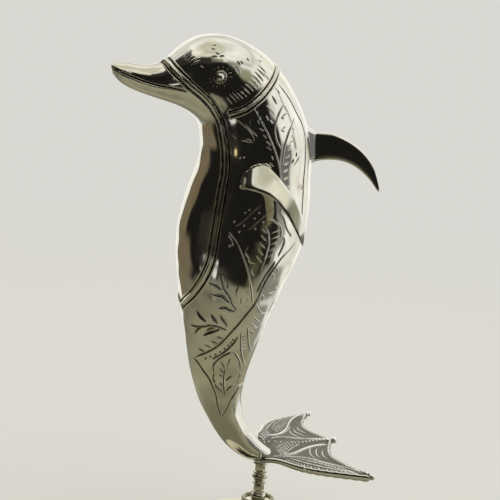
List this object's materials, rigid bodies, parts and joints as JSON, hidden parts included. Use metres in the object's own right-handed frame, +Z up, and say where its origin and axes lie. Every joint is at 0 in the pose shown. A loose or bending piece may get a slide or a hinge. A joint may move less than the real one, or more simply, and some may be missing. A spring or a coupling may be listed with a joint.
{
  "type": "dolphin figurine",
  "caption": "Leaping dolphin figurine in polished brass with chased bands and leaves, standing on its tail on a turned stem and a low round base.",
  "frame": {"origin": "centre of the base's flat underside, under the stem's axis", "axes": "+Z up along the stem; -X the way the beak points; +X the way the back fin points"},
  "size_m": [0.1879, 0.1174, 0.3318],
  "materials": {
    "figure_brass": "pale brass, polished bright, with darkened chased lines",
    "stem_brass": "pale brass, turned and polished",
    "base_brass": "pale brass, turned, with a soft polish"
  },
  "bodies": {
    "root": {"dolphin": "figure_brass", "stem": "stem_brass", "base": "base_brass"}
  },
  "joints": []
}
